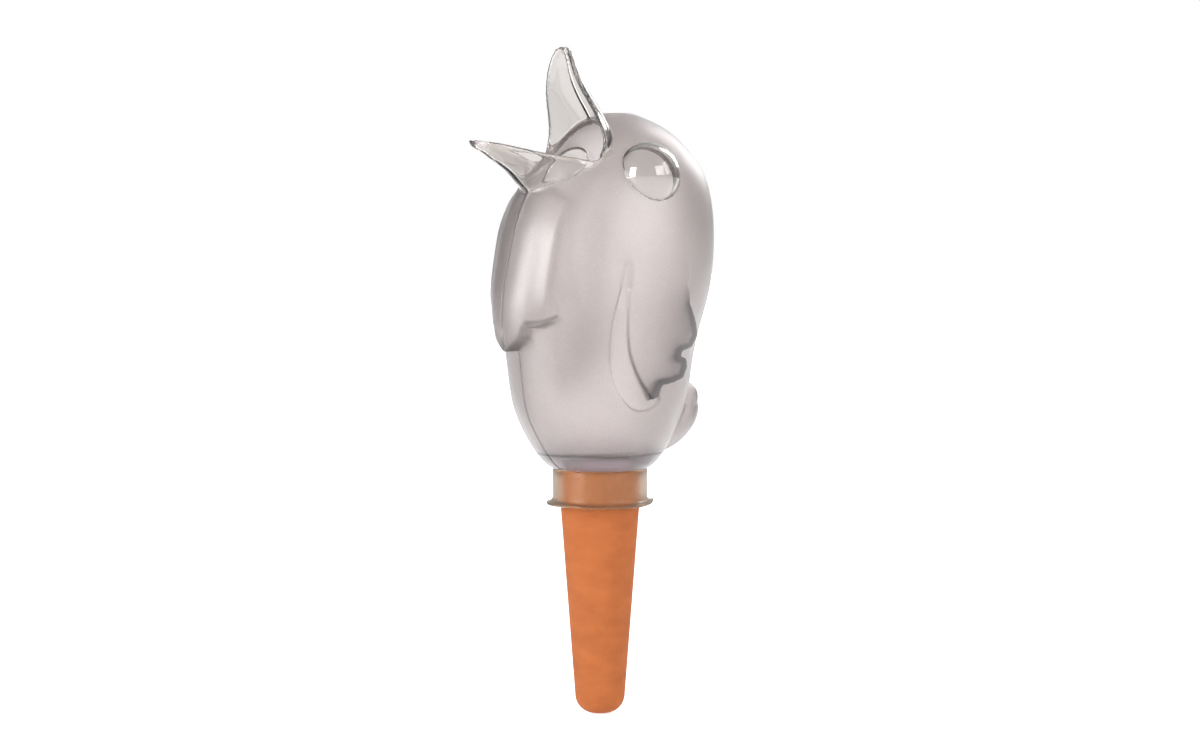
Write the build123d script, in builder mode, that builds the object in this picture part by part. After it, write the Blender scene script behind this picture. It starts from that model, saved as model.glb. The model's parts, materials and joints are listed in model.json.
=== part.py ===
from build123d import *
from math import pi, sin
import os

# Self watering spike: a clear bird-shaped reservoir in two welded halves, a soft neck collar
# and a hollow clay cone that is pushed into the soil.
#
# Frame: +Z up, the beak faces -Y and the bird's left side is +X. The origin is on the neck's
# axis at the underside of the collar's lip, which rests on the soil. Lengths are millimetres.

os.makedirs("parts", exist_ok=True)

overrun = 5.0
quarter_turn = 90
half_turn = 180

# Clay cone: a straight head held in the collar, then a long taper to a blunt tip.
cone_length = 62.8
cone_head_radius = 11.85
cone_tip_radius = 7.1
cone_tip_rounding = 5.5
cone_wall = 3.0
cone_floor = 5.0
cone_head_rounding = 0.5

# Neck collar: a soft stepped sleeve, with a lip on the soil, a barrel round the cone's head
# and a plug that pushes up into the reservoir.
collar_lip_radius = 16.1
collar_lip_thickness = 1.4
collar_lip_rounding = 0.5
collar_barrel_radius = 14.25
collar_barrel_height = 10.0
collar_plug_radius = 12.4
collar_plug_height = 5.4
collar_plug_wall = 2.3
collar_plug_lead = 0.5
collar_fit = 0.05
plug_fit = 0.05

# Reservoir: an egg whose level sections are ovals, deeper than they are wide.
body_height = 106.2
body_half_width = 26.9
body_depth_share = 1.28
body_rounding_height = 22.0
body_wall = 1.8
body_sections = 22
floor_thickness = 5.8

# Half width share, backward lean share and height share of points up the egg's side.
body_side_shares = (
    (0.528, 0.000, 0.000),
    (0.635, 0.000, 0.028),
    (0.728, 0.000, 0.084),
    (0.830, 0.000, 0.197),
    (0.885, 0.004, 0.315),
    (0.940, 0.028, 0.408),
    (0.985, 0.060, 0.478),
    (1.000, 0.122, 0.590),
    (0.985, 0.156, 0.674),
    (0.944, 0.186, 0.744),
    (0.800, 0.238, 0.848),
    (0.692, 0.256, 0.888),
    (0.569, 0.260, 0.928),
    (0.461, 0.260, 0.954),
    (0.312, 0.255, 0.980),
    (0.164, 0.253, 0.995),
    (0.030, 0.253, 1.000),
)

# Eyes: hollow domes that stand out of the head, placed by a share of the body's height below the
# crown.
eye_radius = 9.7
eye_inset = 8.3
eye_back = 2.9
eye_drop_share = 0.1751
eye_wall = 1.5

# Beak: two open scoops, one upright and one forward, that share one mouth.
beak_wall = 1.5
beak_sections = 12
upper_beak_length = 29.9
upper_beak_root_rise = 3.4
upper_beak_half_width = 14.2
upper_beak_rim_reach = 15.3
upper_beak_depth_share = 0.66
lower_beak_tip_reach = 47.4
lower_beak_root_reach = 12.0
lower_beak_half_width = 14.5
lower_beak_tip_depth_share = 0.70
lower_beak_root_depth_share = 1.45
lower_beak_deepening = 18.0

# Half width share, rim reach share and height share of points up the upright scoop's rim. The
# first point is inside the head.
upper_beak_rim_shares = (
    (0.800, 0.700, -0.200),
    (1.000, 0.640, 0.000),
    (0.887, 0.667, 0.252),
    (0.754, 0.817, 0.443),
    (0.585, 0.948, 0.634),
    (0.423, 0.993, 0.825),
    (0.300, 0.975, 0.935),
    (0.150, 0.950, 0.990),
    (0.030, 0.940, 1.000),
)

# Mouth: the share of the body's height that its floor lies below the crown, and how far the
# forward scoop's tip rises above that floor.
mouth_drop_share = 0.1318
mouth_clearance = 1.2
lower_beak_tip_rise = 5.6

# Half width share, reach share and height share of points out along the forward scoop's rim.
# The first point is inside the head.
lower_beak_rim_shares = (
    (1.000, -0.130, 0.000),
    (1.000, 0.000, 0.000),
    (0.945, 0.109, 0.020),
    (0.793, 0.245, 0.180),
    (0.662, 0.326, 0.290),
    (0.524, 0.470, 0.440),
    (0.428, 0.587, 0.600),
    (0.366, 0.723, 0.770),
    (0.276, 0.880, 0.930),
    (0.130, 0.985, 0.990),
    (0.030, 1.000, 1.000),
)

# Wings: a skin that stands out of each side, most at its feathered back edge. It grows between
# two shares of the body's height.
wing_width_relief = 1.6
wing_back_relief = 3.7
wing_top_share = 0.6836
wing_full_share = 0.4576

# Bib: a proud breast with a feathered lower edge, which grows in the same way.
bib_front_relief = 5.4
bib_side_relief = -5.8
bib_top_share = 0.9473
bib_full_share = 0.3823

# Groove in front of each wing.
groove_depth = 0.9

# Tail: two pairs of rounded feathers low on the back, placed by shares of the body's height.
tail_wall = 1.5
upper_feather_length = 6.0
upper_feather_radius = 4.8
upper_feather_back = 27.5
upper_feather_rise_share = 0.1827
upper_feather_tilt = -34
lower_feather_length = 12.0
lower_feather_radius = 6.2
lower_feather_back = 22.6
lower_feather_rise_share = 0.1190
lower_feather_tilt = -55
feather_side = 5.5

# Outlines on the bird's left side: shares of the half width behind the axis, and of the
# body's height above its base.
wing_front_shares = (
    (-0.327, 0.614),
    (-0.353, 0.517),
    (-0.342, 0.441),
    (-0.283, 0.340),
    (-0.171, 0.275),
    (-0.045, 0.230),
    (0.033, 0.205),
)
wing_feather_shares = (
    (0.108, 0.213),
    (0.149, 0.245),
    (0.316, 0.249),
    (0.480, 0.261),
    (0.539, 0.292),
    (0.502, 0.317),
    (0.405, 0.322),
    (0.424, 0.337),
    (0.595, 0.346),
    (0.691, 0.379),
    (0.621, 0.413),
    (0.454, 0.472),
    (0.446, 0.549),
    (0.409, 0.699),
    (-0.260, 0.699),
)
groove_front_shares = (
    (-0.320, 0.628),
    (-0.439, 0.517),
    (-0.513, 0.404),
    (-0.509, 0.340),
    (-0.450, 0.266),
    (-0.309, 0.205),
    (-0.130, 0.175),
    (0.015, 0.175),
    (0.186, 0.201),
)

# Outline of half the bib: shares of the half width to the side, and of the body's height.
bib_shares = (
    (0.000, 0.339),
    (0.126, 0.362),
    (0.201, 0.376),
    (0.249, 0.410),
    (0.368, 0.411),
    (0.480, 0.424),
    (0.558, 0.436),
    (0.595, 0.590),
    (0.558, 0.758),
    (0.000, 0.830),
)

body_base = collar_lip_thickness + collar_barrel_height
floor_top = body_base + floor_thickness
crown_height = body_base + body_height
eye_side = body_half_width - eye_inset
eye_height = crown_height - eye_drop_share * body_height
mouth_floor_height = crown_height - mouth_drop_share * body_height
upper_beak_root_height = mouth_floor_height + upper_beak_root_rise
wing_top = body_base + wing_top_share * body_height
wing_full = body_base + wing_full_share * body_height
bib_top = body_base + bib_top_share * body_height
bib_full = body_base + bib_full_share * body_height
upper_feather_height = body_base + upper_feather_rise_share * body_height
lower_feather_height = body_base + lower_feather_rise_share * body_height

# A sloping plane just above the forward scoop's rim.
above_mouth = Plane(
    origin=(0, -lower_beak_root_reach, mouth_floor_height + mouth_clearance),
    x_dir=(1, 0, 0),
    z_dir=(0, lower_beak_tip_rise, lower_beak_tip_reach - lower_beak_root_reach),
)


def on_body(shares):
    """Points of an outline on the body, from a table of its shares."""
    return [
        (across_share * body_half_width, body_base + height_share * body_height)
        for across_share, height_share in shares
    ]


def oval(plane, half_width, half_depth, centre):
    """A section of two arcs that meet on the middle plane."""
    with BuildSketch(plane) as section:
        with BuildLine():
            EllipticalCenterArc(
                (0, centre), half_width, half_depth, -quarter_turn, arc_size=half_turn
            )
            EllipticalCenterArc(
                (0, centre), half_width, half_depth, quarter_turn, arc_size=half_turn
            )
        make_face()
    return section.sketch


def rail_stations(points, count):
    """Points spaced evenly along a smooth rail, each with the rail's outward direction."""
    with BuildLine() as rail:
        Spline(*points)
    stations = []
    for step in range(count):
        along = rail.line % (step / (count - 1))
        outward = Vector(along.Z, 0, -along.X).normalized()
        stations.append((rail.line @ (step / (count - 1)), outward))
    return stations


def body_solid(skin=0.0, width_relief=0.0, back_relief=0.0, top=0.0, full=0.0):
    """The egg, its surface moved out by skin and by a relief that grows from top to full."""
    points = [
        (
            side_share * body_half_width,
            lean_share * body_half_width,
            body_base + height_share * body_height,
        )
        for side_share, lean_share, height_share in body_side_shares
    ]
    sections = []
    for side, outward in rail_stations(points, body_sections):
        rounding = sin(pi / 2 * min(1.0, (side.Z - body_base) / body_rounding_height))
        half_depth = side.X * (1 + (body_depth_share - 1) * rounding)
        growth = 0.0
        if top:
            growth = min(max((top - side.Z) / (top - full), 0.0), 1.0)
        sections.append(
            oval(
                Plane.XY.offset(side.Z + skin * outward.Z),
                side.X + skin * outward.X + growth * width_relief,
                half_depth + skin * outward.X,
                side.Y + growth * back_relief,
            )
        )
    with BuildPart() as egg:
        loft(sections=sections)
    return egg.part


def upper_rim_points():
    """Points up the upright scoop's rim: half width, place behind the axis and height."""
    return [
        (
            side_share * upper_beak_half_width,
            -reach_share * upper_beak_rim_reach,
            upper_beak_root_height + height_share * upper_beak_length,
        )
        for side_share, reach_share, height_share in upper_beak_rim_shares
    ]


def lower_rim_points():
    """Points out along the forward scoop's rim: half width, height and reach."""
    reach = lower_beak_tip_reach - lower_beak_root_reach
    return [
        (
            side_share * lower_beak_half_width,
            mouth_floor_height + height_share * lower_beak_tip_rise,
            lower_beak_root_reach + reach_share * reach,
        )
        for side_share, reach_share, height_share in lower_beak_rim_shares
    ]


def upper_beak_solid(skin=0.0):
    """The upright horn of the beak, with its surface moved out by skin."""
    sections = []
    for side, outward in rail_stations(upper_rim_points(), beak_sections):
        sections.append(
            oval(
                Plane.XY.offset(side.Z + skin * outward.Z),
                side.X + skin * outward.X,
                side.X * upper_beak_depth_share + skin * outward.X,
                side.Y,
            )
        )
    with BuildPart() as horn:
        loft(sections=sections)
    return horn.part


def lower_beak_solid(skin=0.0):
    """The forward horn of the beak, with its surface moved out by skin."""
    sections = []
    for side, outward in rail_stations(lower_rim_points(), beak_sections):
        deepening = min(1.0, (lower_beak_tip_reach - side.Z) / lower_beak_deepening)
        depth_share = lower_beak_tip_depth_share + deepening * (
            lower_beak_root_depth_share - lower_beak_tip_depth_share
        )
        sections.append(
            oval(
                Plane.XZ.offset(side.Z + skin * outward.Z),
                side.X + skin * outward.X,
                side.X * depth_share + skin * outward.X,
                side.Y,
            )
        )
    with BuildPart() as horn:
        loft(sections=sections)
        split(bisect_by=above_mouth, keep=Keep.BOTTOM)
    return horn.part


def mouth_solid():
    """The wedge of space between the two scoops, bounded by their rims."""
    upper_rim = [(back, height) for _, back, height in reversed(upper_rim_points()[1:])]
    lower_rim = [(-reach, height) for _, height, reach in lower_rim_points()[1:]]
    far_reach = lower_rim[-1][0] - overrun
    far_height = upper_rim[0][1] + overrun
    with BuildPart() as mouth:
        with BuildSketch(Plane.YZ):
            with BuildLine():
                Spline(*upper_rim, *lower_rim)
                Polyline(
                    lower_rim[-1],
                    (far_reach, lower_rim[-1][1]),
                    (far_reach, far_height),
                    (upper_rim[0][0], far_height),
                    upper_rim[0],
                )
            make_face()
        extrude(amount=body_half_width, both=True)
    return mouth.part


def wings_solid():
    """The pads of both wings, joined through the body."""
    with BuildPart() as wings:
        with BuildSketch(Plane.YZ):
            with BuildLine():
                front = Spline(*on_body(wing_front_shares))
                Polyline(front @ 1, *on_body(wing_feather_shares), front @ 0)
            make_face()
        extrude(amount=body_half_width + overrun, both=True)
        add(
            body_solid(0.0, wing_width_relief, wing_back_relief, wing_top, wing_full),
            mode=Mode.INTERSECT,
        )
    return wings.part


def grooves_solid():
    """The hollows in front of both wings, down to their floors, and on under the wings."""
    with BuildPart() as grooves:
        with BuildSketch(Plane.YZ):
            with BuildLine():
                front = Spline(*on_body(groove_front_shares))
                Line(front @ 1, front @ 0)
            make_face()
        extrude(amount=body_half_width + overrun, both=True)
        add(body_solid(-groove_depth), mode=Mode.SUBTRACT)
    return grooves.part


def bib_solid(skin=0.0):
    """The proud breast, with its surface moved out by skin."""
    with BuildPart() as bib:
        with BuildSketch(Plane.XZ):
            with BuildLine():
                Polyline(*on_body(bib_shares), close=True)
            make_face()
            mirror(about=Plane.YZ)
            if skin:
                offset(amount=skin)
        extrude(amount=lower_beak_tip_reach)
        add(
            body_solid(skin, bib_side_relief, -bib_front_relief, bib_top, bib_full),
            mode=Mode.INTERSECT,
        )
    return bib.part


def feather_solid(length, radius, tilt, place, skin=0.0):
    """A tail feather: an egg whose long axis is tilted back or forward."""
    with BuildPart() as feather:
        with BuildSketch(Plane.XZ):
            with BuildLine():
                EllipticalCenterArc(
                    (0, 0), radius + skin, length + skin, -quarter_turn, arc_size=half_turn
                )
                Line((0, -length - skin), (0, length + skin))
            make_face()
        revolve(axis=Axis.Z)
    return feather.part.rotate(Axis.X, tilt).translate(place)


def tail_solid(skin=0.0):
    """Two pairs of feathers, with their surfaces moved out by skin."""
    with BuildPart() as tail:
        for side in (feather_side, -feather_side):
            add(
                feather_solid(
                    upper_feather_length,
                    upper_feather_radius,
                    upper_feather_tilt,
                    (side, upper_feather_back, upper_feather_height),
                    skin,
                )
            )
            add(
                feather_solid(
                    lower_feather_length,
                    lower_feather_radius,
                    lower_feather_tilt,
                    (side, lower_feather_back, lower_feather_height),
                    skin,
                )
            )
    return tail.part


def eyes_solid(skin=0.0):
    """Both eyes' balls, with their surfaces moved out by skin."""
    with BuildPart() as eyes:
        with Locations((eye_side, eye_back, eye_height)):
            Sphere(eye_radius + skin, rotation=(0, 0, half_turn))
        with Locations((-eye_side, eye_back, eye_height)):
            Sphere(eye_radius + skin)
    return eyes.part


def reservoir_solid():
    """The space inside both shells, from the floor up to the mouth."""
    with BuildPart() as space:
        add(body_solid(-body_wall))
        add(bib_solid(-body_wall))
        add(tail_solid(-tail_wall))
        add(upper_beak_solid(-beak_wall))
        add(lower_beak_solid(-beak_wall))
        add(eyes_solid(-eye_wall))
        split(bisect_by=Plane.XY.offset(floor_top))
    return space.part


# The bird in one piece, before its seam is cut.
with BuildPart() as bird:
    add(body_solid())
    add(grooves_solid(), mode=Mode.SUBTRACT)
    add(wings_solid())
    add(bib_solid())
    add(upper_beak_solid())
    add(lower_beak_solid())
    add(eyes_solid())
    add(tail_solid())
    add(mouth_solid(), mode=Mode.SUBTRACT)
    add(reservoir_solid(), mode=Mode.SUBTRACT)
    with BuildSketch(Plane.XY.offset(body_base)):
        Circle(collar_plug_radius + plug_fit)
    extrude(amount=floor_thickness + overrun, mode=Mode.SUBTRACT)

# Left shell: the half at +X.
with BuildPart() as left_shell:
    add(bird.part)
    split(bisect_by=Plane.YZ)
left_shell.part.label = "left_shell"
export_step(left_shell.part, "parts/left_shell.step")

# Right shell: the half at -X.
with BuildPart() as right_shell:
    add(bird.part)
    split(bisect_by=Plane.YZ, keep=Keep.BOTTOM)
right_shell.part.label = "right_shell"
export_step(right_shell.part, "parts/right_shell.step")

# Neck collar: turned about the neck's axis.
with BuildPart() as neck_collar:
    with BuildSketch(Plane.XZ) as collar_section:
        with Locations((0, 0)):
            Rectangle(collar_lip_radius, collar_lip_thickness, align=(Align.MIN, Align.MIN))
        with Locations((0, collar_lip_thickness)):
            Rectangle(
                collar_barrel_radius, collar_barrel_height, align=(Align.MIN, Align.MIN)
            )
        with Locations((0, body_base)):
            Rectangle(collar_plug_radius, collar_plug_height, align=(Align.MIN, Align.MIN))
        Rectangle(
            cone_head_radius + collar_fit,
            body_base,
            align=(Align.MIN, Align.MIN),
            mode=Mode.SUBTRACT,
        )
        with Locations((0, body_base)):
            Rectangle(
                collar_plug_radius - collar_plug_wall,
                collar_plug_height,
                align=(Align.MIN, Align.MIN),
                mode=Mode.SUBTRACT,
            )
    revolve(axis=Axis.Z)
    lip_edges = neck_collar.edges().filter_by(GeomType.CIRCLE).sort_by(SortBy.RADIUS)[-2:]
    fillet(lip_edges, collar_lip_rounding)
    top_edges = neck_collar.edges().filter_by(GeomType.CIRCLE).group_by(Axis.Z)[-1]
    chamfer(top_edges.sort_by(SortBy.RADIUS)[-1], collar_plug_lead)
neck_collar.part.label = "neck_collar"
export_step(neck_collar.part, "parts/neck_collar.step")

# Clay cone: turned about the same axis, hollow from its open head down to its floor.
with BuildPart() as clay_cone:
    with BuildSketch(Plane.XZ):
        with BuildLine():
            Polyline(
                (0, body_base),
                (cone_head_radius, body_base),
                (cone_head_radius, 0),
                (cone_tip_radius, -cone_length),
                (0, -cone_length),
                close=True,
            )
        make_face()
    revolve(axis=Axis.Z)
    fillet(clay_cone.edges().sort_by(Axis.Z)[0], cone_tip_rounding)
    with BuildSketch(Plane.XZ):
        with BuildLine():
            Polyline(
                (0, body_base),
                (cone_head_radius - cone_wall, body_base),
                (cone_head_radius - cone_wall, 0),
                (cone_tip_radius - cone_wall, cone_floor - cone_length),
                (0, cone_floor - cone_length),
                close=True,
            )
        make_face()
    revolve(axis=Axis.Z, mode=Mode.SUBTRACT)
    fillet(clay_cone.edges().group_by(Axis.Z)[-1], cone_head_rounding)
clay_cone.part.label = "clay_cone"
export_step(clay_cone.part, "parts/clay_cone.step")
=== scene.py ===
"""The looks of a self watering spike: a clear bird-shaped reservoir, a soft neck collar and a clay cone."""

import json
import logging
import math
from dataclasses import dataclass, field
from enum import Enum
from typing import Any

import bpy
import numpy as np
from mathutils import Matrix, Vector

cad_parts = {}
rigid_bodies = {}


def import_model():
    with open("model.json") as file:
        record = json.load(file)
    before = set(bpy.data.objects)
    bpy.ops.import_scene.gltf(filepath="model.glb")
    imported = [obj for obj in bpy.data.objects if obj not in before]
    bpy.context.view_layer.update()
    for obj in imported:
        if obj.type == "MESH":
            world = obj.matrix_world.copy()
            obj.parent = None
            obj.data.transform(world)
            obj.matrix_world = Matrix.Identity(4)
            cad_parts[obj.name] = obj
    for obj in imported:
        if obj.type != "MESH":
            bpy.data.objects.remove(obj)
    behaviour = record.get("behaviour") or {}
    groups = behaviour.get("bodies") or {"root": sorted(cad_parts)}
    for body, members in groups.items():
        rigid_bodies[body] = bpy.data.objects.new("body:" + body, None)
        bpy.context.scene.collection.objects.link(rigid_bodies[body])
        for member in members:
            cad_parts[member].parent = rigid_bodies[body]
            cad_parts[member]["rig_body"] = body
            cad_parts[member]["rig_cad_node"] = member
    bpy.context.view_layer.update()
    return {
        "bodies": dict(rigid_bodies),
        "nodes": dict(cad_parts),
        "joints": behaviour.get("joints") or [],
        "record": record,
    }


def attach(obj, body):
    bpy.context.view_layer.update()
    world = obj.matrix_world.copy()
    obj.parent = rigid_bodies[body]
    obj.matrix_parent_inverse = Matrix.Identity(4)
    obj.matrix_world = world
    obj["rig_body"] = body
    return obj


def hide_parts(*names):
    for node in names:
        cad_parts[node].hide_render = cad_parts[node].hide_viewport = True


log = logging.getLogger("spike")

MM = 0.001
PHOTO_WIDTH_PX = 1200.0


class Side(Enum):
    """The half of the bird that a shell makes: the sign of its X."""

    LEFT = 1.0
    RIGHT = -1.0


class Slot(Enum):
    """The record's material slots of the pieces that are made anew."""

    CLEAR = "clear_plastic"
    SOFT = "soft_collar"


def deselect_all() -> None:
    """Leave object mode's selection empty."""
    if bpy.context.object and bpy.context.object.mode != "OBJECT":
        bpy.ops.object.mode_set(mode="OBJECT")
    bpy.ops.object.select_all(action="DESELECT")


def only(piece: bpy.types.Object) -> None:
    """Select one piece alone and make it active.

    Args:
        piece: The piece that the next operators act on.
    """
    deselect_all()
    piece.select_set(True)
    bpy.context.view_layer.objects.active = piece


def apply_modifier(piece: bpy.types.Object, kind: str, **settings: Any) -> None:
    """Add a modifier to a piece and apply it at once.

    Args:
        piece: The piece that is shaped.
        kind: Blender's type of the modifier.
        **settings: The modifier's own values.
    """
    only(piece)
    modifier = piece.modifiers.new(kind.title(), kind)
    for name, value in settings.items():
        setattr(modifier, name, value)
    bpy.ops.object.modifier_apply(modifier=modifier.name)


def points_of(piece: bpy.types.Object) -> np.ndarray:
    """The piece's points in millimetres, one row each.

    Args:
        piece: A mesh whose object sits at the origin.

    Returns:
        An array of points, three numbers a row.
    """
    co = np.zeros(len(piece.data.vertices) * 3)
    piece.data.vertices.foreach_get("co", co)
    return co.reshape(-1, 3) / MM


def set_points(piece: bpy.types.Object, points: np.ndarray) -> None:
    """Put the piece's points, given in millimetres, back in its mesh.

    Args:
        piece: The mesh that is changed.
        points: Its points, three numbers a row.
    """
    piece.data.vertices.foreach_set("co", (points * MM).astype(np.float32).ravel())
    piece.data.update()


def add_attribute(piece: bpy.types.Object, name: str, values: np.ndarray) -> None:
    """Store one number a point on the piece.

    Args:
        piece: The mesh that carries the numbers.
        name: The attribute's name, which a material reads.
        values: One number for each point.
    """
    attribute = piece.data.attributes.new(name, "FLOAT", "POINT")
    attribute.data.foreach_set("value", values.astype(np.float32))


def add_weights(piece: bpy.types.Object, name: str, chosen: np.ndarray) -> None:
    """Store a vertex group that holds the chosen points in full.

    Args:
        piece: The mesh that carries the group.
        name: The group's name, which a modifier reads.
        chosen: True for each point in the group.
    """
    group = piece.vertex_groups.new(name=name)
    group.add(np.nonzero(chosen)[0].tolist(), 1.0, "REPLACE")


def ease(low: float, high: float, values: np.ndarray) -> np.ndarray:
    """Rise smoothly from 0 at low to 1 at high.

    Args:
        low: Where the rise starts.
        high: Where it ends, which may be lower than its start.
        values: The numbers to read.

    Returns:
        One share for each number.
    """
    share = np.clip((values - low) / (high - low), 0.0, 1.0)
    return share * share * (3.0 - 2.0 * share)


def from_line(places: np.ndarray, corners: np.ndarray) -> np.ndarray:
    """Each place's distance from a line with corners, in a plane.

    Args:
        places: Two numbers a row.
        corners: The line's corners, two numbers a row.

    Returns:
        One distance a place.
    """
    nearest = np.full(len(places), np.inf)
    for start, end in zip(corners[:-1], corners[1:]):
        run = end - start
        along = np.clip(((places - start) @ run) / (run @ run), 0.0, 1.0)
        nearest = np.minimum(nearest, np.linalg.norm(places - start - along[:, None] * run, axis=1))
    return nearest


def inside(places: np.ndarray, corners: np.ndarray) -> np.ndarray:
    """Which places lie inside a closed outline, in a plane.

    Args:
        places: Two numbers a row.
        corners: The outline's corners in order, two numbers a row.

    Returns:
        True for each place inside.
    """
    found = np.zeros(len(places), dtype=bool)
    for start, end in zip(corners, np.roll(corners, -1, axis=0)):
        if start[1] == end[1]:
            continue
        level = (start[1] > places[:, 1]) != (end[1] > places[:, 1])
        crossing = start[0] + (places[:, 1] - start[1]) * (end[0] - start[0]) / (end[1] - start[1])
        found ^= level & (places[:, 0] < crossing)
    return found


@dataclass(frozen=True)
class BirdForm:
    """The bird's main forms in millimetres, which say where the plastic is frosted or polished and where
    shade is painted.
    """

    base: float = 11.4
    height: float = 106.2
    half_width: float = 26.9
    eye_radius: float = 9.7
    eye_side: float = 18.6
    eye_back: float = 2.9
    eye_height: float = 99.0
    eye_inside: float = 8.2
    eye_thinned: float = 8.9
    upper_root: float = 107.0
    upper_tip: float = 136.9
    upper_half_width: float = 14.2
    upper_reach: float = 15.3
    upper_depth_share: float = 0.66
    lower_root: float = 12.0
    lower_tip: float = 47.4
    lower_half_width: float = 14.5
    mouth_height: float = 103.6
    lower_tip_height: float = 109.2
    lower_tip_depth_share: float = 0.70
    lower_root_depth_share: float = 1.45
    lower_deepening: float = 18.0
    band_top: float = 16.3
    feather_top: float = 69.5
    feather_width: float = 2.2
    feather_fading: float = 16.0
    feather_foreshortening: float = 0.6
    feather_outer_blur: float = 0.5
    feather_inner_blur: float = 0.7
    feather_least: float = 0.3
    feather_overlap: float = 0.15
    hem_shade: float = 0.3
    hem_reach: float = 0.55
    hem_core: float = 0.25
    seam_darkness: float = 0.3
    seam_reach: float = 0.42
    seam_core: float = 0.22
    ledge_shade: float = 1.0
    ledge_reach: float = 0.5
    ledge_core: float = 0.2
    tail_darkness: float = 0.36
    tail_start: float = 0.2
    tail_full: float = 1.2
    breast_front: float = 8.0
    polish_edge: float = 0.35
    polish_overlap: float = 0.2
    scoop_outer_share: float = 1.06
    scoop_inner_share: float = 1.02
    band_polish: float = 0.15
    far_away: float = 9.0
    melting_reach: float = 4.0
    melting_side: float = 15.0
    melting_below_root: float = 20.0
    melting_eye_margin: float = 1.0
    ridge_side: float = 14.6
    ridge_spread: float = 3.0
    ridge_rise: float = 1.7
    valley_side: float = 18.6
    valley_spread: float = 1.8
    valley_drop: float = 0.5
    roll_start: float = 8.0
    roll_full: float = 2.0
    roll_fading: float = 22.0
    bib_corner: float = 62.0
    wing_corner: float = 66.0
    crown_corner: float = 110.0
    upper_reach_back: float = 2.0
    wing_front_shares: tuple[tuple[float, float], ...] = (
        (-0.327, 0.614),
        (-0.353, 0.517),
        (-0.342, 0.441),
        (-0.283, 0.340),
        (-0.171, 0.275),
        (-0.045, 0.230),
    )
    bib_lower_shares: tuple[tuple[float, float], ...] = (
        (0.000, 0.339),
        (0.126, 0.362),
        (0.201, 0.376),
        (0.249, 0.410),
        (0.368, 0.411),
        (0.480, 0.424),
    )
    bib_side_shares: tuple[tuple[float, float], ...] = (
        (0.558, 0.436),
        (0.595, 0.590),
        (0.558, 0.758),
        (0.000, 0.830),
    )
    feather_shares: tuple[tuple[float, float], ...] = (
        (0.033, 0.205),
        (0.108, 0.213),
        (0.149, 0.245),
        (0.316, 0.249),
        (0.480, 0.261),
        (0.539, 0.292),
        (0.502, 0.317),
        (0.405, 0.322),
        (0.424, 0.337),
        (0.595, 0.346),
        (0.691, 0.379),
        (0.621, 0.413),
        (0.454, 0.472),
        (0.446, 0.549),
        (0.440, 0.600),
    )
    back_profile: tuple[tuple[float, float], ...] = (
        (12.0, 15.7),
        (16.0, 19.9),
        (20.0, 23.2),
        (24.0, 25.6),
        (28.0, 27.4),
        (32.0, 28.7),
        (36.0, 29.5),
        (38.0, 40.0),
    )
    upper_rim_shares: tuple[tuple[float, float, float], ...] = (
        (0.800, 0.700, -0.200),
        (1.000, 0.640, 0.000),
        (0.887, 0.667, 0.252),
        (0.754, 0.817, 0.443),
        (0.585, 0.948, 0.634),
        (0.423, 0.993, 0.825),
        (0.300, 0.975, 0.935),
        (0.150, 0.950, 0.990),
        (0.030, 0.940, 1.000),
    )
    lower_rim_shares: tuple[tuple[float, float, float], ...] = (
        (1.000, -0.130, 0.000),
        (1.000, 0.000, 0.000),
        (0.945, 0.109, 0.020),
        (0.793, 0.245, 0.180),
        (0.662, 0.326, 0.290),
        (0.524, 0.470, 0.440),
        (0.428, 0.587, 0.600),
        (0.366, 0.723, 0.770),
        (0.276, 0.880, 0.930),
        (0.130, 0.985, 0.990),
        (0.030, 1.000, 1.000),
    )

    def upper_beak(self, points: np.ndarray) -> np.ndarray:
        """How far each point is from the upright scoop's axis, 1 on its skin.

        Args:
            points: Points in millimetres.

        Returns:
            One number a point, large away from the scoop's heights.
        """
        half, reach, rise = np.array(self.upper_rim_shares).T
        heights = self.upper_root + rise * (self.upper_tip - self.upper_root)
        width = np.interp(points[:, 2], heights, half * self.upper_half_width)
        centre = -np.interp(points[:, 2], heights, reach * self.upper_reach)
        across = points[:, 0] / width
        along = (points[:, 1] - centre) / (width * self.upper_depth_share)
        return np.where(points[:, 2] > heights[0], np.hypot(across, along), self.far_away)

    def lower_beak(self, points: np.ndarray) -> np.ndarray:
        """How far each point is from the forward scoop's axis, 1 on its skin.

        Args:
            points: Points in millimetres.

        Returns:
            One number a point, large behind the scoop's root.
        """
        half, out, rise = np.array(self.lower_rim_shares).T
        reaches = self.lower_root + out * (self.lower_tip - self.lower_root)
        heights = self.mouth_height + rise * (self.lower_tip_height - self.mouth_height)
        reach = -points[:, 1]
        width = np.interp(reach, reaches, half * self.lower_half_width)
        centre = np.interp(reach, reaches, heights)
        deepening = np.clip((self.lower_tip - reach) / self.lower_deepening, 0.0, 1.0)
        share = self.lower_tip_depth_share + deepening * (
            self.lower_root_depth_share - self.lower_tip_depth_share
        )
        spread = np.hypot(points[:, 0] / width, (points[:, 2] - centre) / (width * share))
        return np.where(reach > reaches[0], spread, self.far_away)

    def from_eye(self, points: np.ndarray) -> np.ndarray:
        """Each point's distance from its side's eye, less the eye's radius.

        Args:
            points: Points in millimetres.

        Returns:
            One distance a point, negative inside the eye.
        """
        side = np.abs(points[:, 0]) - self.eye_side
        back = points[:, 1] - self.eye_back
        up = points[:, 2] - self.eye_height
        return np.sqrt(side**2 + back**2 + up**2) - self.eye_radius

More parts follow.
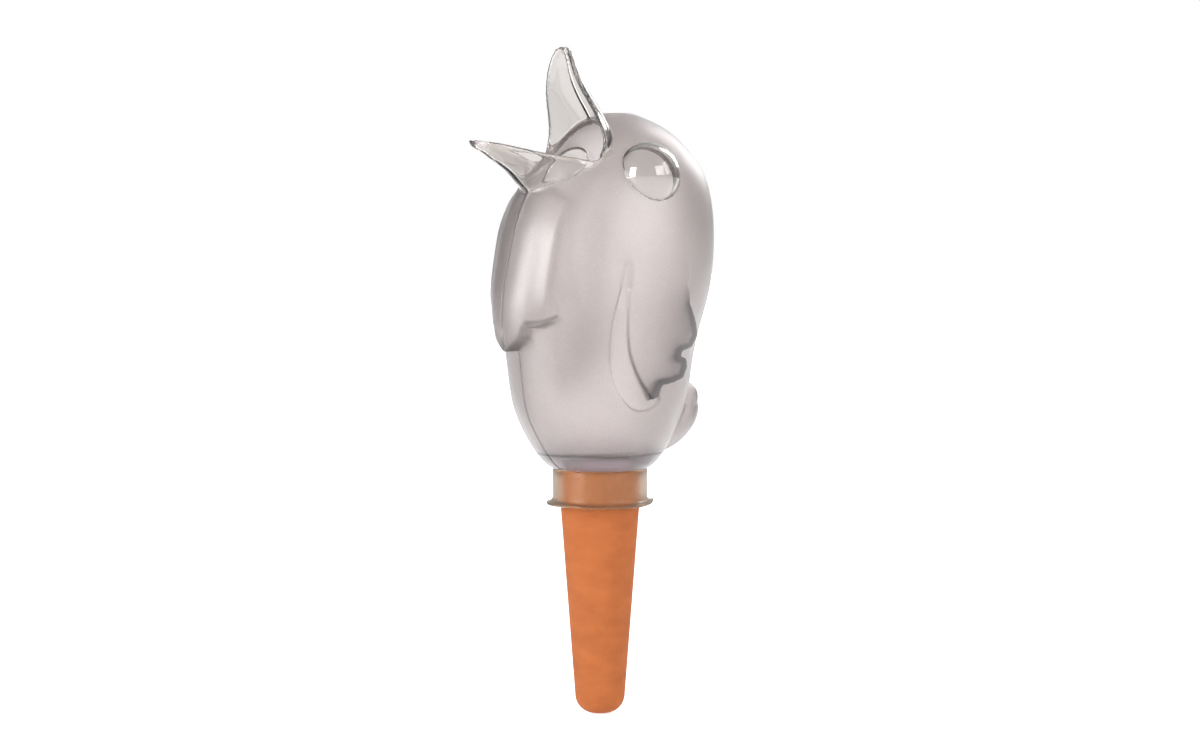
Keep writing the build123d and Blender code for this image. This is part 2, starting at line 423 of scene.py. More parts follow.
    def polish(self, points: np.ndarray) -> np.ndarray:
        """Where the mould was polished: the beak, the eyes and a little of the bottom band.

        Args:
            points: Points in millimetres.

        Returns:
            One share a point, 1 on polished plastic and 0 on frosted.
        """
        edge = self.polish_edge
        eye = ease(edge, 0.0, self.from_eye(points) - self.polish_overlap)
        upper = ease(self.scoop_outer_share, self.scoop_inner_share, self.upper_beak(points))
        lower = ease(self.scoop_outer_share, self.scoop_inner_share, self.lower_beak(points))
        band = self.band_polish * ease(self.band_top + edge, self.band_top - edge, points[:, 2])
        return np.max([eye, upper, lower, band], axis=0)

    def on_body(self, shares: tuple[tuple[float, float], ...]) -> np.ndarray:
        """An outline's corners, from a table of shares of the half width and of the height.

        Args:
            shares: The table.

        Returns:
            One row a corner, in millimetres.
        """
        return np.array(shares) * (self.half_width, self.height) + (0.0, self.base)

    def on_breast(self, points: np.ndarray) -> np.ndarray:
        """Which points lie on the bird's front.

        Args:
            points: Points in millimetres.

        Returns:
            True at each point on the front.
        """
        return points[:, 1] < -self.breast_front

    def feather_shade(self, points: np.ndarray) -> np.ndarray:
        """Painted shade along the wing's feathered edge, where it steps down to the body: a band that fades
        at its top.

        Args:
            points: Points in millimetres.

        Returns:
            One share a point, 1 in the middle of the band.
        """
        places = points[:, 1:]
        feathers = self.on_body(self.feather_shares)
        wing = np.vstack((feathers, self.on_body(self.wing_front_shares)))
        seen = (self.feather_foreshortening, 1.0)
        reach = from_line(places * seen, feathers * seen)
        fading = ease(self.feather_top, self.feather_top - self.feather_fading, points[:, 2])
        width = self.feather_width * fading
        # The band of painted shade at the wing's step.
        band = ease(width + self.feather_outer_blur, width - self.feather_inner_blur, reach)
        band *= width > self.feather_least
        return band * np.maximum(inside(places, wing), reach < self.feather_overlap)

    def painted_shade_and_seam(self, points: np.ndarray) -> np.ndarray:
        """Painted shade along the wing's edge, the bib's hem and the ledge, the seam's dark line, and a
        darker tail.

        Args:
            points: Points in millimetres.

        Returns:
            One share a point, 1 where it is darkest.
        """
        # Painted shade at the bib's hem, the ledge and the wing's edge; a dark line along the seam; the
        # tail darker.
        breast = self.on_breast(points)
        bib = from_line(np.abs(points[:, ::2]), self.on_body(self.bib_lower_shares))
        hem = self.hem_shade * ease(self.hem_reach, self.hem_core, bib) * breast
        seam = self.seam_darkness * ease(self.seam_reach, self.seam_core, np.abs(points[:, 0])) * breast
        from_ledge = np.abs(points[:, 2] - self.band_top)
        ledge = self.ledge_shade * ease(self.ledge_reach, self.ledge_core, from_ledge)
        back = np.interp(points[:, 2], *np.array(self.back_profile).T)
        tail = self.tail_darkness * ease(self.tail_start, self.tail_full, points[:, 1] - back)
        return np.max([self.feather_shade(points), hem, seam, ledge, tail], axis=0)

    def roll_bib(self, points: np.ndarray) -> np.ndarray:
        """Roll the bib's sides: a soft ridge along each, and a valley beside it.

        Args:
            points: Points in millimetres.

        Returns:
            The moved points.
        """
        across = np.abs(points[:, 0])
        ridge = np.exp(-(((across - self.ridge_side) / self.ridge_spread) ** 2))
        valley = np.exp(-(((across - self.valley_side) / self.valley_spread) ** 2))
        heights = ease(self.bib_corner - self.roll_start, self.bib_corner + self.roll_full, points[:, 2])
        heights *= ease(self.mouth_height, self.mouth_height - self.roll_fading, points[:, 2])
        push = (self.ridge_rise * ridge - self.valley_drop * valley) * heights * self.on_breast(points)
        moved = points.copy()
        moved[:, 1] -= push
        return moved

    def melting(self, points: np.ndarray) -> np.ndarray:
        """Where a form runs out softly: the bib's sides, the crown, and the tops of wing and groove.

        Args:
            points: Points in millimetres.

        Returns:
            True at each point that is smoothed further.
        """
        sides = from_line(np.abs(points[:, ::2]), self.on_body(self.bib_side_shares)) < self.melting_reach
        bib = sides & self.on_breast(points) & (points[:, 2] > self.bib_corner)
        under_root = points[:, 2] < self.upper_root - self.melting_below_root
        tops = (points[:, 2] > self.wing_corner) & under_root
        beside = np.abs(points[:, 0]) > self.melting_side
        crown = (points[:, 2] > self.crown_corner) & (points[:, 1] > self.upper_reach_back)
        return bib | crown | (tops & beside & (self.from_eye(points) > self.melting_eye_margin))


Socket = bpy.types.NodeSocket


@dataclass
class Shader:
    """A material that is put together node by node, with its Principled shader made first."""

    name: str
    material: bpy.types.Material = field(init=False)
    surface: bpy.types.Node = field(init=False)

    def __post_init__(self) -> None:
        """Make the material with one Principled shader."""
        self.material = bpy.data.materials.new(self.name)
        self.material.use_nodes = True
        nodes = self.material.node_tree.nodes
        self.surface = next(n for n in nodes if n.type == "BSDF_PRINCIPLED")

    def node(self, kind: str, inputs: dict[str, Any] | None = None, **settings: Any) -> bpy.types.Node:
        """Add a node.

        Args:
            kind: Blender's type of the node, without its ShaderNode prefix.
            inputs: Values or sockets for its inputs, by name or number.
            **settings: The node's own properties.

        Returns:
            The new node.
        """
        made = self.material.node_tree.nodes.new("ShaderNode" + kind)
        for name, value in settings.items():
            setattr(made, name, value)
        for name, value in (inputs or {}).items():
            self.feed(made.inputs[name], value)
        return made

    def feed(self, socket: Socket, value: Any) -> None:
        """Link another node's output to a socket, or set the socket's value.

        Args:
            socket: The input.
            value: An output socket, or a plain value.
        """
        if isinstance(value, bpy.types.NodeSocket):
            self.material.node_tree.links.new(value, socket)
        else:
            socket.default_value = value

    def set(self, **inputs: Any) -> None:
        """Set or link the Principled shader's own inputs, with _ for each space of a name.

        Args:
            **inputs: Values or sockets.
        """
        for name, value in inputs.items():
            self.feed(self.surface.inputs[name.replace("_", " ")], value)

    def place(self) -> Socket:
        """The Object coordinates of the piece."""
        return self.node("TexCoord").outputs["Object"]

    def noise(self, scale: float, detail: float = 3.0, place: Socket | None = None) -> Socket:
        """A grey noise on the piece's own coordinates.

        Args:
            scale: How many features a metre.
            detail: How many finer layers.
            place: Other coordinates than the plain ones.

        Returns:
            The noise's factor.
        """
        inputs = {"Vector": place or self.place(), "Scale": scale, "Detail": detail}
        return self.node("TexNoise", inputs).outputs["Fac"]

    def above(self, height: float, blur: float) -> Socket:
        """0 below a height of the piece and 1 above it.

        Args:
            height: The height in metres.
            blur: Half of the height over which it changes.

        Returns:
            The share.
        """
        rise = self.node("SeparateXYZ", {"Vector": self.place()}).outputs["Z"]
        return self.between(rise, 0.0, 1.0, height - blur, height + blur)

    def attribute(self, name: str) -> Socket:
        """A number that is stored on the piece's points.

        Args:
            name: The attribute's name.

        Returns:
            Its value.
        """
        return self.node("Attribute", attribute_name=name).outputs["Fac"]

    def between(
        self, share: Socket, low: float, high: float, start: float = 0.0, end: float = 1.0
    ) -> Socket:
        """Map a number to a range.

        Args:
            share: The number.
            low: The result at start.
            high: The result at end.
            start: Where the range starts.
            end: Where it ends.

        Returns:
            The mapped number.
        """
        inputs = {"Value": share, "From Min": start, "From Max": end, "To Min": low, "To Max": high}
        return self.node("MapRange", inputs).outputs["Result"]

    def math(self, operation: str, first: Any, second: Any) -> Socket:
        """Two numbers joined by one operation.

        Args:
            operation: The operation's name.
            first: A socket or a number.
            second: A socket or a number.

        Returns:
            The result.
        """
        made = self.node("Math", {0: first, 1: second}, operation=operation)
        return made.outputs["Value"]

    def ramp(self, share: Socket, stops: tuple[tuple[float, tuple[float, float, float]], ...]) -> Socket:
        """A colour that follows a number.

        Args:
            share: The number.
            stops: Places from 0 to 1, each with its colour.

        Returns:
            The colour.
        """
        made = self.node("ValToRGB", {"Fac": share})
        elements = made.color_ramp.elements
        while len(elements) < len(stops):
            elements.new(0.5)
        for element, (place, colour) in zip(elements, stops):
            element.position = place
            element.color = (*colour, 1.0)
        return made.outputs["Color"]

    def blend(self, share: Socket, first: Any, second: Any) -> Socket:
        """Two colours mixed by a number.

        Args:
            share: The second colour's share.
            first: A socket or a colour.
            second: A socket or a colour.

        Returns:
            The mixed colour.
        """
        made = self.node("Mix", data_type="RGBA")
        for number, value in ((0, share), (6, first), (7, second)):
            self.feed(made.inputs[number], value)
        return made.outputs[2]

    def swallow(self, colour: tuple[float, float, float], density: float) -> None:
        """Let the inside swallow light, the more the longer its way through.

        Args:
            colour: What is swallowed least.
            density: How much is swallowed in a metre.
        """
        absorption = self.node("VolumeAbsorption", {"Color": (*colour, 1.0), "Density": density})
        output = next(n for n in self.material.node_tree.nodes if n.type == "OUTPUT_MATERIAL")
        self.feed(output.inputs["Volume"], absorption.outputs["Volume"])

    def bump(self, height: Socket, depth: float, strength: Any = 1.0) -> Socket:
        """A fine relief.

        Args:
            height: The relief's height.
            depth: Its depth in metres.
            strength: Its strength, a socket or a number.

        Returns:
            The normal.
        """
        inputs = {"Height": height, "Distance": depth, "Strength": strength}
        return self.node("Bump", inputs).outputs["Normal"]


@dataclass(frozen=True)
class SmokyPlastic:
    """Clear smoky plastic, frosted by the mould's fine texture and polished where the mould was, with shade
    painted along its steps.
    """

    frosted_tint: tuple[float, float, float] = (0.89, 0.855, 0.84)
    speckle_tint: tuple[float, float, float] = (0.77, 0.73, 0.72)
    polished_tint: tuple[float, float, float] = (0.69, 0.665, 0.64)
    # The colour of the painted shade along the wing's edge, the bib's hem and the ledge, and of the seam's
    # line and the tail.
    shade_and_seam_tint: tuple[float, float, float] = (0.11, 0.085, 0.095)
    foot_tint: tuple[float, float, float] = (0.97, 0.91, 0.97)
    foot_height: float = 16.3 * MM
    foot_blur: float = 0.1 * MM
    smoke: tuple[float, float, float] = (0.20, 0.09, 0.10)
    smoke_per_metre: float = 87.0
    frosted_roughness: float = 0.42
    polished_roughness: float = 0.03
    patch_roughness: float = 0.04
    patches_per_metre: float = 90.0
    speckles_per_metre: float = 2400.0
    speckle_range: tuple[float, float] = (0.3, 0.7)
    grains_per_metre: float = 4600.0
    grain_depth: float = 0.036 * MM
    coat: float = 0.7
    coat_refraction: float = 1.3
    coat_roughness: float = 0.32
    refraction: float = 1.49

    def material(self) -> bpy.types.Material:
        """The finish as a Blender material."""
        shader = Shader("smoky_plastic")
        polish = shader.attribute("polish")
        frost = shader.math("SUBTRACT", 1.0, polish)
        patches = shader.between(
            shader.noise(self.patches_per_metre), -self.patch_roughness, self.patch_roughness
        )
        rough = shader.between(polish, self.frosted_roughness, self.polished_roughness)
        rough = shader.math("ADD", rough, shader.math("MULTIPLY", patches, frost))
        grain = shader.noise(self.grains_per_metre, 2.0)
        shader.set(
            Base_Color=self.tint(shader, polish),
            Coat_Weight=self.coat,
            Coat_IOR=self.coat_refraction,
            Coat_Roughness=self.coat_roughness,
            Roughness=rough,
            IOR=self.refraction,
            Transmission_Weight=1.0,
            Normal=shader.bump(grain, self.grain_depth, frost),
            Coat_Normal=shader.bump(grain, self.grain_depth, frost),
        )
        shader.swallow(self.smoke, self.smoke_per_metre)
        return shader.material

    def tint(self, shader: Shader, polish: Socket) -> Socket:
        """The plastic's colour: speckled where frosted, lilac at the foot, dark with painted shade at the
        wing's edge, the bib's hem and the ledge, and dark along the seam and on the tail.

        Args:
            shader: The material's shader.
            polish: The share that is polished.

        Returns:
            The colour.
        """
        low, high = self.speckle_range
        speckle = shader.noise(self.speckles_per_metre, 1.0)
        frosted = shader.ramp(speckle, ((low, self.speckle_tint), (high, self.frosted_tint)))
        body = shader.above(self.foot_height, self.foot_blur)
        frosted = shader.blend(body, (*self.foot_tint, 1.0), frosted)
        tint = shader.blend(polish, frosted, (*self.polished_tint, 1.0))
        # Painted shade along the wing's edge, the bib's hem and the ledge, with the dark seam and the
        # darker tail.
        return shader.blend(shader.attribute("painted_shade_and_seam"), tint, (*self.shade_and_seam_tint, 1.0))


@dataclass(frozen=True)
class MilkyRubber:
    """Soft milky plastic, a little warm, that shows what is behind it as a blur."""

    colour: tuple[float, float, float] = (0.74, 0.64, 0.53)
    cloudy: tuple[float, float, float] = (0.64, 0.53, 0.41)
    clouds_per_metre: float = 420.0
    cloud_range: tuple[float, float] = (0.3, 0.7)
    haze: tuple[float, float, float] = (0.35, 0.20, 0.10)
    haze_per_metre: float = 75.0
    plug: tuple[float, float, float] = (0.92, 0.85, 0.92)
    plug_height: float = 11.4 * MM
    plug_blur: float = 0.2 * MM
    smooth_roughness: float = 0.23
    cloudy_roughness: float = 0.39
    dimples_per_metre: float = 700.0
    dimple_depth: float = 0.08 * MM
    refraction: float = 1.25
    clearness: float = 0.96

    def material(self) -> bpy.types.Material:
        """The finish as a Blender material."""
        shader = Shader("milky_rubber")
        low, high = self.cloud_range
        cloud = shader.noise(self.clouds_per_metre, 4.0)
        milk = shader.ramp(cloud, ((low, self.cloudy), (high, self.colour)))
        plug = shader.above(self.plug_height, self.plug_blur)
        shader.set(
            Base_Color=shader.blend(plug, milk, (*self.plug, 1.0)),
            Roughness=shader.between(cloud, self.smooth_roughness, self.cloudy_roughness),
            IOR=self.refraction,
            Transmission_Weight=self.clearness,
            Normal=shader.bump(shader.noise(self.dimples_per_metre, 3.0), self.dimple_depth),
        )
        shader.swallow(self.haze, self.haze_per_metre)
        return shader.material


@dataclass(frozen=True)
class Terracotta:
    """Matt unglazed clay: fine grains, soft cloudy patches, and a brighter orange on the neck inside the
    collar.
    """

    pale: tuple[float, float, float] = (0.322, 0.095, 0.026)
    deep: tuple[float, float, float] = (0.240, 0.064, 0.017)
    neck: tuple[float, float, float] = (0.73, 0.31, 0.080)
    neck_height: float = 0.5 * MM
    neck_blur: float = 0.5 * MM
    clouds_per_metre: float = 110.0
    cloud_flattening: float = 2.2
    cloud_share: float = 0.8
    mix_range: tuple[float, float] = (0.25, 0.75)
    grains_per_metre: float = 1900.0
    pits_per_metre: float = 850.0
    pit_share: float = 0.8
    relief_depth: float = 0.07 * MM
    smooth_roughness: float = 0.82
    rough_roughness: float = 0.95
    specular: float = 0.25

    def material(self) -> bpy.types.Material:
        """The finish as a Blender material."""
        shader = Shader("terracotta")
        scale = (1.0, 1.0, self.cloud_flattening)
        flattened = shader.node("Mapping", {"Vector": shader.place(), "Scale": scale}).outputs["Vector"]
        cloud = shader.noise(self.clouds_per_metre, 5.0, flattened)
        grain = shader.noise(self.grains_per_metre, 3.0)
        pits = shader.noise(self.pits_per_metre, 4.0)
        cloudiness = shader.math("MULTIPLY", cloud, self.cloud_share)
        graininess = shader.math("MULTIPLY", grain, 1.0 - self.cloud_share)
        mix = shader.math("ADD", cloudiness, graininess)
        relief = shader.math("ADD", grain, shader.math("MULTIPLY", pits, self.pit_share))
        low, high = self.mix_range
        clay = shader.ramp(mix, ((low, self.deep), (high, self.pale)))
        # Brighter orange on the cone's neck, above its shoulder inside the collar.
        inside_collar = shader.above(self.neck_height, self.neck_blur)
        shader.set(
            Base_Color=shader.blend(inside_collar, clay, (*self.neck, 1.0)),
            Roughness=shader.between(grain, self.smooth_roughness, self.rough_roughness),
            Normal=shader.bump(relief, self.relief_depth),
        )
        shader.surface.inputs["Specular IOR Level"].default_value = self.specular
        return shader.material


@dataclass
class Shell:
    """One half of the bird, with the soft edges of a moulding."""

    side: Side
    frame: dict[str, Any]
    form: BirdForm = field(default_factory=BirdForm)
    merging: float = 0.005 * MM
    voxel: float = 0.34 * MM
    smoothing: float = 0.5
    softening: int = 10
    beak_softening: int = 36
    melt_softening: int = 120
    plain_faces: int = 90_000
    plain_limit: float = 0.01
    foot_margin: float = 1.0
    scoop_share: float = 1.04
    eye_skin: float = 0.22
    seam_gap: float = 0.04

    @property
    def node(self) -> str:
        """The CAD node that this half stands for."""
        return "left_shell" if self.side is Side.LEFT else "right_shell"

    def build(self) -> bpy.types.Object:
        """Mould the half from a merged copy of its CAD node."""
        only(self.frame["nodes"][self.node])
        bpy.ops.object.duplicate()
        piece = bpy.context.view_layer.objects.active
        piece.name = self.node.replace("shell", "half")
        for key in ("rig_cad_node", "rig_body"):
            if key in piece:
                del piece[key]
        piece.parent = None
        bpy.ops.object.mode_set(mode="EDIT")
        bpy.ops.mesh.select_all(action="SELECT")
        bpy.ops.mesh.remove_doubles(threshold=self.merging)
        bpy.ops.object.mode_set(mode="OBJECT")
        apply_modifier(piece, "REMESH", mode="VOXEL", voxel_size=self.voxel)
        apply_modifier(piece, "SMOOTH", factor=self.smoothing, iterations=self.softening)
        self.soften(piece, "beak", self.beak(points_of(piece)), self.beak_softening)
        self.soften(piece, "melting", self.form.melting(points_of(piece)), self.melt_softening)
        set_points(piece, self.form.roll_bib(points_of(piece)))
        self.round_eye(piece)
        self.lighten(piece)
        self.trim_seam(piece)
        bpy.ops.object.shade_smooth()
        points = points_of(piece)
        add_attribute(piece, "polish", self.form.polish(points))
        # The painted shade of the wing's edge, the bib's hem and the ledge, with the seam's line and the
        # tail.
        add_attribute(piece, "painted_shade_and_seam", self.form.painted_shade_and_seam(points))
        return piece

    def beak(self, points: np.ndarray) -> np.ndarray:
        """Which points belong to the two scoops.

        Args:
            points: Points in millimetres.

        Returns:
            True for each of the scoops' points.
        """
        return np.minimum(self.form.upper_beak(points), self.form.lower_beak(points)) < self.scoop_share

    def soften(self, piece: bpy.types.Object, name: str, chosen: np.ndarray, rounds: int) -> None:
        """Smooth a part of the half further than the rest.

        Args:
            piece: The half.
            name: The part's name.
            chosen: True for each of its points.
            rounds: How often it is smoothed.
        """
        add_weights(piece, name, chosen)
        apply_modifier(piece, "SMOOTH", factor=self.smoothing, iterations=rounds, vertex_group=name)

    def round_eye(self, piece: bpy.types.Object) -> None:
        """Bring the eye's dome to a true ball inside and out.

        Args:
            piece: The half.
        """
        form = self.form
        points = points_of(piece)
        centre = np.array((form.eye_side * self.side.value, form.eye_back, form.eye_height))
        arms = points - centre
        reach = np.linalg.norm(arms, axis=1)
        for skin, radius in ((form.eye_radius, form.eye_radius), (form.eye_inside, form.eye_thinned)):
            near = np.abs(reach - skin) < self.eye_skin
            points[near] = centre + arms[near] * (radius / reach[near])[:, None]
        set_points(piece, points)

    def lighten(self, piece: bpy.types.Object) -> None:
        """Use fewer faces where the frosted plastic is plain, and keep them all on the clear parts and
        where shade is painted.

        Args:
            piece: The half.
        """
        points = points_of(piece)
        plain = np.maximum(self.form.polish(points), self.form.painted_shade_and_seam(points)) < self.plain_limit
        plain |= points[:, 2] < self.form.band_top - self.foot_margin
        add_weights(piece, "plain", plain)
        keep = self.plain_faces / len(piece.data.polygons)
        apply_modifier(piece, "DECIMATE", ratio=keep, vertex_group="plain")

    def trim_seam(self, piece: bpy.types.Object) -> None:
        """Hold the half just on its own side of the seam.

        Args:
            piece: The half.
        """
        points = points_of(piece)
        across = points[:, 0] * self.side.value
        points[:, 0] = np.maximum(across, self.seam_gap) * self.side.value
        set_points(piece, points)

    def dress(self, piece: bpy.types.Object, material: bpy.types.Material) -> None:
        """Give the half its finish, and let it stand for its CAD node.

        Args:
            piece: The half.
            material: Its finish.
        """
        piece.data.materials.clear()
        piece.data.materials.append(material)
        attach(piece, "reservoir")
        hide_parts(self.node)


@dataclass
class SoftCollar:
    """The milky sleeve between the reservoir and the cone, with a thin flared lip that waves a little."""

    segments: int = 192
    lip_reach: float = 14.5
    lip_radius: float = 16.1
    lip_height: float = 3.0
    wave: float = 0.16
    broad_waves: float = 3.0
    broad_start: float = 40.0
    fine_waves: float = 7.0
    fine_share: float = 0.6
    curl: float = 0.75
    curl_azimuth: float = 141.0
    curl_spread: float = 13.0
    profile: tuple[tuple[float, float], ...] = (
        (10.10, 11.60),
        (10.10, 16.60),
        (10.25, 16.80),
        (11.70, 16.80),
        (12.05, 16.70),
        (12.40, 16.20),
        (12.40, 11.75),
        (12.50, 11.50),
        (12.75, 11.40),
        (13.60, 11.36),
        (13.95, 11.22),
        (14.18, 10.95),
        (14.25, 10.50),
        (14.25, 8.40),
        (14.25, 6.20),
        (14.25, 4.10),
        (14.26, 3.00),
        (14.34, 2.40),
        (14.56, 1.92),
        (14.95, 1.62),
        (15.45, 1.50),
        (15.85, 1.42),
        (16.05, 1.22),
        (16.10, 0.95),
        (15.98, 0.70),
        (15.60, 0.55),
        (15.00, 0.45),
        (14.20, 0.30),
        (13.20, 0.10),
        (12.30, 0.02),
        (12.00, 0.12),
        (11.90, 0.40),
        (11.90, 4.00),
        (11.90, 8.00),
        (11.90, 11.20),
        (11.75, 11.40),
        (10.35, 11.42),
    )

    def build(self) -> bpy.types.Object:
        """Turn the sleeve: a ring that is drawn along its section and closed on itself."""
        deselect_all()
        (radius, height), *rest = self.profile
        bpy.ops.mesh.primitive_circle_add(
            vertices=self.segments, radius=radius * MM, location=(0.0, 0.0, 0.0)
        )
        piece = bpy.context.object
        piece.name = "collar_sleeve"
        bpy.ops.object.mode_set(mode="EDIT")
        bpy.ops.mesh.select_all(action="SELECT")
        bpy.ops.transform.translate(value=(0.0, 0.0, height * MM))
        for next_radius, next_height in rest:
            rise = (next_height - height) * MM
            bpy.ops.mesh.extrude_region_move(TRANSFORM_OT_translate={"value": (0.0, 0.0, rise)})
            ratio = next_radius / radius
            bpy.ops.transform.resize(value=(ratio, ratio, 1.0), center_override=(0.0, 0.0, 0.0))
            radius, height = next_radius, next_height
        self.close()
        self.flare(piece)
        bpy.ops.object.shade_smooth()
        return piece

    def close(self) -> None:
        """Bridge the two open ends of the sleeve that is being edited, and turn its faces outward."""
        bpy.ops.mesh.select_all(action="DESELECT")
        bpy.ops.mesh.select_non_manifold(extend=False)
        bpy.ops.mesh.bridge_edge_loops()
        bpy.ops.mesh.select_all(action="SELECT")
        bpy.ops.mesh.normals_make_consistent(inside=False)
        bpy.ops.object.mode_set(mode="OBJECT")

    def flare(self, piece: bpy.types.Object) -> None:
        """Let the lip wave, and lift it where it curls.

        Args:
            piece: The sleeve.
        """
        points = points_of(piece)
        reach = np.hypot(points[:, 0], points[:, 1])
        turn = np.degrees(np.arctan2(points[:, 0], -points[:, 1]))
        lip = ease(self.lip_reach, self.lip_radius, reach) * (points[:, 2] < self.lip_height)
        waves = np.sin(np.radians(self.broad_waves * turn + self.broad_start))
        waves += self.fine_share * np.sin(np.radians(self.fine_waves * turn))
        away = (turn - self.curl_azimuth + 180.0) % 360.0 - 180.0
        lift = self.curl * np.exp(-((away / self.curl_spread) ** 2))
        points[:, 2] += lip * (self.wave * waves + lift)
        set_points(piece, points)

    def dress(self, piece: bpy.types.Object, material: bpy.types.Material) -> None:
        """Give the sleeve its finish, and let it stand for its CAD node.

        Args:
            piece: The sleeve.
            material: Its finish.
        """
        piece.data.materials.append(material)
        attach(piece, "collar")
        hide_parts("neck_collar")


@dataclass(frozen=True)
class Softbox:
    """A panel of soft light that faces the object.

    The turn is in degrees round from the camera's side, the elevation in degrees above level, the
    width and height in metres. The glow says how bright its face is, where plain white paper under
    the room's light is 1.
    """

    turn: float
    elevation: float
    width: float
    height: float
    glow: float


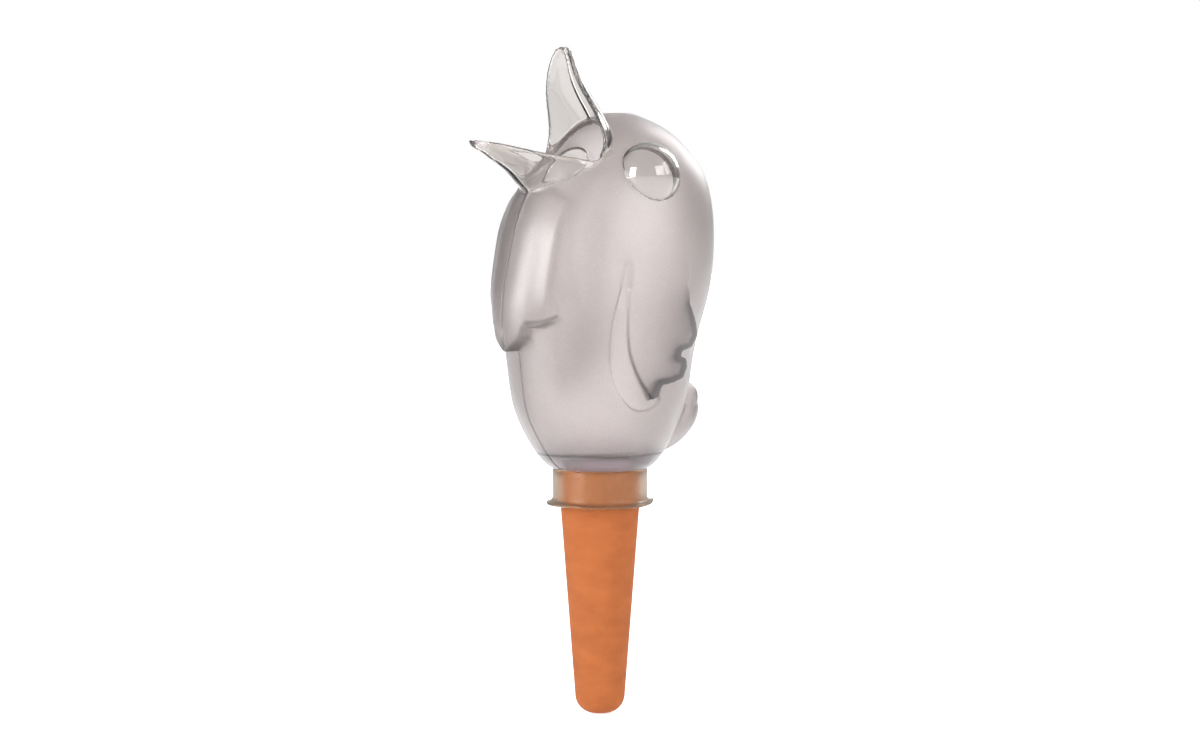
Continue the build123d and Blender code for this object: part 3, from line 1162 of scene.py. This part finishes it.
@dataclass
class Studio:
    """A pale floor, a white room with darker sides, and the camera at the photograph's angle."""

    azimuth: float = 51.0
    elevation: float = 4.0
    distance: float = 850.0 * MM
    target_height: float = 38.55 * MM
    millimetres_a_pixel: float = 0.3
    floor_height: float = -63.0 * MM
    floor_size: float = 6.0
    floor_tone: float = 0.93
    floor_glow: float = 0.62
    softbox_distance: float = 0.80
    softboxes: tuple[Softbox, ...] = (
        Softbox(turn=46.0, elevation=20.0, width=0.42, height=0.42, glow=6.0),
        Softbox(turn=74.0, elevation=24.0, width=0.22, height=0.50, glow=5.0),
        Softbox(turn=-54.0, elevation=14.0, width=0.30, height=0.44, glow=18.0),
        Softbox(turn=148.0, elevation=30.0, width=0.14, height=0.50, glow=8.0),
    )
    room_stops: tuple[tuple[float, float], ...] = (
        (0.0, 0.60),
        (0.35, 0.50),
        (0.60, 0.40),
        (0.82, 0.30),
        (0.93, 0.22),
        (0.985, 1.08),
    )
    sky_tone: float = 0.82
    sky_start: float = 0.35
    sky_full: float = 0.85

    def toward(self, azimuth: float, elevation: float) -> Vector:
        """The direction from the object to a place round it.

        Args:
            azimuth: Degrees round from the beak's side.
            elevation: Degrees above level.

        Returns:
            A unit vector.
        """
        turn, rise = math.radians(azimuth), math.radians(elevation)
        return Vector((math.sin(turn) * math.cos(rise), -math.cos(turn) * math.cos(rise), math.sin(rise)))

    def camera(self) -> None:
        """Stand the camera where the photograph was taken from."""
        bpy.ops.object.camera_add()
        camera = bpy.context.object
        target = Vector((0.0, 0.0, self.target_height))
        away = self.toward(self.azimuth, self.elevation)
        camera.location = target + away * self.distance
        camera.rotation_euler = (-away).to_track_quat("-Z", "Y").to_euler()
        view_width = self.millimetres_a_pixel * MM * PHOTO_WIDTH_PX
        camera.data.lens = camera.data.sensor_width * self.distance / view_width
        camera.data.clip_start = 0.05
        bpy.context.scene.camera = camera

    def floor(self) -> None:
        """Lay the floor under the cone's tip."""
        bpy.ops.mesh.primitive_plane_add(size=self.floor_size, location=(0.0, 0.0, self.floor_height))
        floor = bpy.context.object
        floor.name = "floor"
        shader = Shader("pale_floor")
        tone = self.floor_tone
        shader.set(Base_Color=(tone, tone, tone, 1.0), Roughness=0.9)
        shader.set(Emission_Color=(1.0, 1.0, 1.0, 1.0), Emission_Strength=self.floor_glow)
        shader.surface.inputs["Specular IOR Level"].default_value = 0.0
        floor.data.materials.append(shader.material)

    def hang(self, box: Softbox) -> None:
        """Hang a softbox.

        Args:
            box: The softbox.
        """
        toward = self.toward(self.azimuth + box.turn, box.elevation)
        place = toward * self.softbox_distance + Vector((0.0, 0.0, self.target_height))
        bpy.ops.object.light_add(type="AREA", location=place)
        light = bpy.context.object
        light.rotation_euler = toward.to_track_quat("Z", "Y").to_euler()
        light.data.shape = "RECTANGLE"
        light.data.size, light.data.size_y = box.width, box.height
        light.data.energy = box.glow * math.pi * box.width * box.height

    def room(self) -> None:
        """A white room: plain white to the camera, with darker sides for the plastic's edges."""
        world = bpy.data.worlds.new("room")
        world.use_nodes = True
        bpy.context.scene.world = world
        tree = world.node_tree
        nodes, links = tree.nodes, tree.links
        background = next(n for n in nodes if n.type == "BACKGROUND")
        direction = nodes.new("ShaderNodeTexCoord").outputs["Generated"]
        back = nodes.new("ShaderNodeVectorMath")
        back.operation = "DOT_PRODUCT"
        links.new(direction, back.inputs[0])
        back.inputs[1].default_value = tuple(-self.toward(self.azimuth, 0.0))
        ramp = nodes.new("ShaderNodeValToRGB")
        spread = nodes.new("ShaderNodeMapRange")
        links.new(back.outputs["Value"], spread.inputs["Value"])
        spread.inputs["From Min"].default_value = -1.0
        links.new(spread.outputs["Result"], ramp.inputs["Fac"])
        elements = ramp.color_ramp.elements
        while len(elements) < len(self.room_stops):
            elements.new(0.5)
        for element, (place, tone) in zip(elements, self.room_stops):
            element.position = place
            element.color = (tone, tone, tone, 1.0)
        up = nodes.new("ShaderNodeSeparateXYZ")
        links.new(direction, up.inputs[0])
        rise = nodes.new("ShaderNodeMapRange")
        rise.inputs["From Min"].default_value = self.sky_start
        rise.inputs["From Max"].default_value = self.sky_full
        links.new(up.outputs["Z"], rise.inputs["Value"])
        sky = nodes.new("ShaderNodeMix")
        sky.data_type = "RGBA"
        links.new(rise.outputs["Result"], sky.inputs["Factor"])
        links.new(ramp.outputs["Color"], sky.inputs[6])
        sky.inputs[7].default_value = (self.sky_tone, self.sky_tone, self.sky_tone, 1.0)
        seen = nodes.new("ShaderNodeLightPath").outputs["Is Camera Ray"]
        shown = nodes.new("ShaderNodeMix")
        shown.data_type = "RGBA"
        links.new(seen, shown.inputs["Factor"])
        links.new(sky.outputs[2], shown.inputs[6])
        shown.inputs[7].default_value = (1.0, 1.0, 1.0, 1.0)
        links.new(shown.outputs[2], background.inputs["Color"])

    def build(self) -> None:
        """Set up the whole studio."""
        self.camera()
        self.floor()
        self.room()
        for box in self.softboxes:
            self.hang(box)
        bpy.context.scene.view_settings.view_transform = "Standard"


def dress_node(node: bpy.types.Object, material: bpy.types.Material) -> None:
    """Give a CAD node its finish.

    Args:
        node: The CAD node's object.
        material: Its finish.
    """
    node.data.materials.clear()
    node.data.materials.append(material)


def main() -> None:
    """Build the spike's looks round the CAD frame, and the studio round them."""
    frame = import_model()
    studio = Studio()
    studio.build()
    plastic = SmokyPlastic().material()
    for side in Side:
        shell = Shell(side, frame)
        piece = shell.build()
        shell.dress(piece, plastic)
        log.info("%s: %d faces", piece.name, len(piece.data.polygons))
    collar = SoftCollar()
    sleeve = collar.build()
    collar.dress(sleeve, MilkyRubber().material())
    log.info("%s: %d faces", sleeve.name, len(sleeve.data.polygons))
    dress_node(frame["nodes"]["clay_cone"], Terracotta().material())


if __name__ == "__main__":
    logging.basicConfig(level=logging.INFO)
    main()
